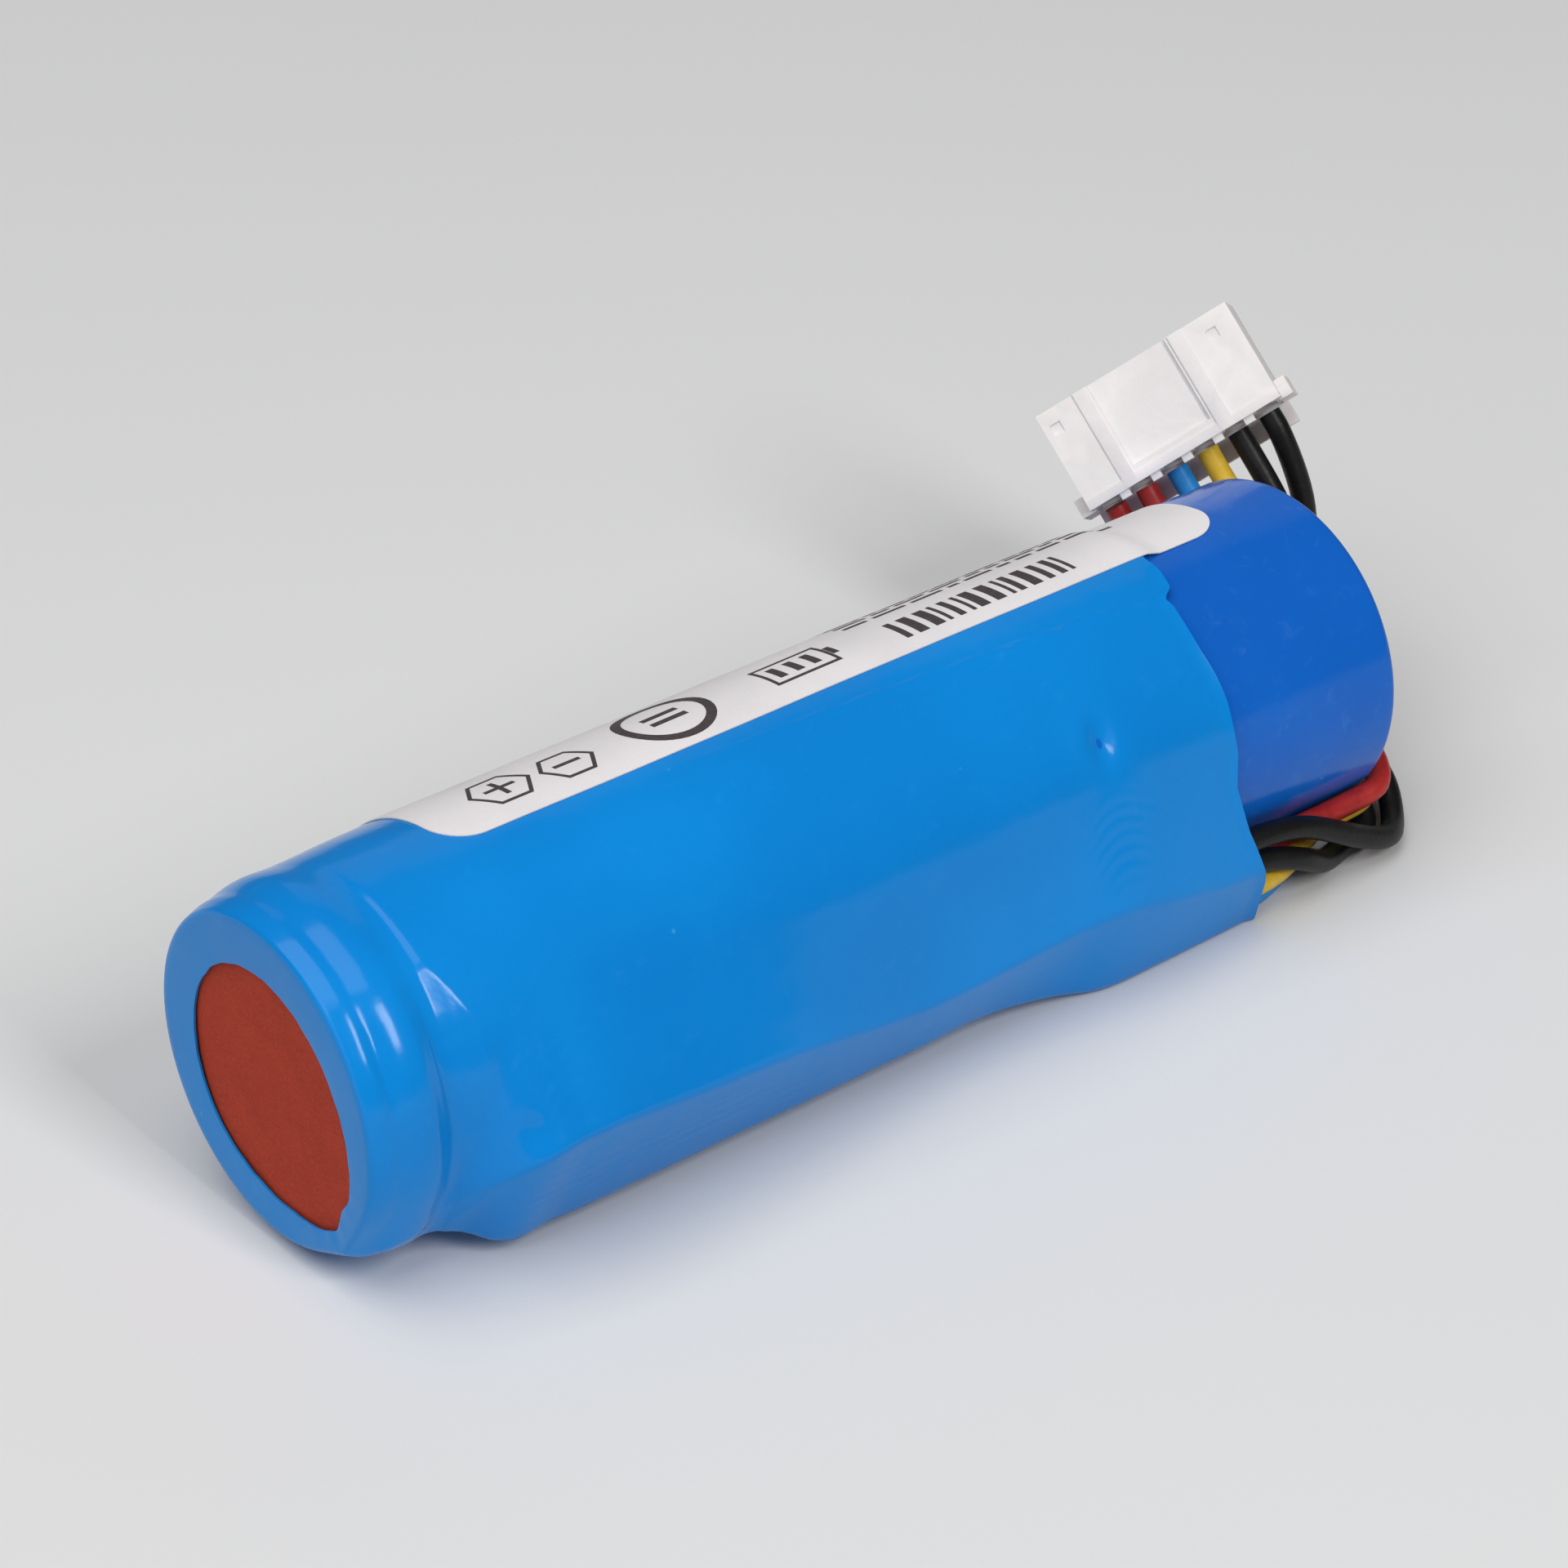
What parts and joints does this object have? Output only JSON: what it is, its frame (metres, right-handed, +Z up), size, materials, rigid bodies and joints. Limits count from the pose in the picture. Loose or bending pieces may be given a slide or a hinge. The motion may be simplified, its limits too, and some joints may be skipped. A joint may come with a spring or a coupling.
{
  "type": "cylindrical battery cell pack",
  "caption": "Round lithium-ion cell with a side protection board under a shrink sleeve, paper-covered end, coloured leads and a white wire-to-board plug.",
  "frame": {"origin": "middle of the bottom of the pack's own body, leads and plug left out", "axes": "+X along the cell towards the end where the leads come out, +Z up, as it lies on the flat of its sleeve"},
  "size_m": [0.0762, 0.0304, 0.0243],
  "materials": {
    "steel": "nickel-plated deep-drawn steel",
    "cell_wrap": "dark blue heat-shrunk PVC, glossy",
    "sleeve": "light blue heat-shrunk PVC, glossy",
    "label": "white synthetic label with dark grey printing, satin",
    "red_paper": "brick-red vulcanised fibre paper, matt",
    "white_paper": "pressed paper, matt",
    "nickel": "pure nickel strip, satin",
    "aluminium": "pressed aluminium",
    "foil_roll": "wound coated aluminium and copper foils, matt",
    "clear_plastic": "natural polypropylene",
    "graphite": "carbon-filled polymer",
    "board": "green solder mask over glass laminate",
    "chip": "black moulded epoxy",
    "ceramic": "fired ceramic",
    "solder": "bright tin solder",
    "foam": "closed-cell foam tape",
    "plug": "white moulded nylon, satin",
    "tin": "tin-plated phosphor bronze",
    "lead_red": "red PVC insulation",
    "lead_blue": "blue PVC insulation",
    "lead_yellow": "yellow PVC insulation",
    "lead_black": "black PVC insulation"
  },
  "bodies": {
    "root": {"steel_can": "steel", "cell_wrap": "cell_wrap", "top_paper_ring": "white_paper", "header_gasket": "clear_plastic", "positive_cap": "nickel", "ptc_ring": "graphite", "burst_disc": "aluminium", "cutoff_gasket": "clear_plastic", "cutoff_disc": "aluminium", "top_insulator": "clear_plastic", "electrode_roll": "foil_roll", "centre_pin": "steel", "bottom_insulator": "clear_plastic", "positive_tab": "aluminium", "negative_tab": "nickel", "positive_strip": "nickel", "near_end_disc": "red_paper", "negative_strip": "nickel", "far_end_disc": "red_paper", "board_foam": "foam", "protection_board": "board", "switch_transistor_1": "chip", "switch_transistor_2": "chip", "protection_chip": "chip", "sense_resistor": "ceramic", "filter_capacitor_1": "ceramic", "filter_capacitor_2": "ceramic", "thermistor": "ceramic", "gauge_chip": "chip", "gauge_resistor": "ceramic", "solder_joint_1": "solder", "solder_joint_2": "solder", "solder_joint_3": "solder", "solder_joint_4": "solder", "solder_joint_5": "solder", "solder_joint_6": "solder", "shrink_sleeve": "sleeve", "label": "label", "lead_red_1": "lead_red", "lead_red_2": "lead_red", "lead_blue": "lead_blue", "lead_yellow": "lead_yellow", "lead_black_1": "lead_black", "lead_black_2": "lead_black", "crimp_terminal_1": "tin", "crimp_terminal_2": "tin", "crimp_terminal_3": "tin", "crimp_terminal_4": "tin", "crimp_terminal_5": "tin", "crimp_terminal_6": "tin", "plug_housing": "plug"}
  },
  "joints": []
}
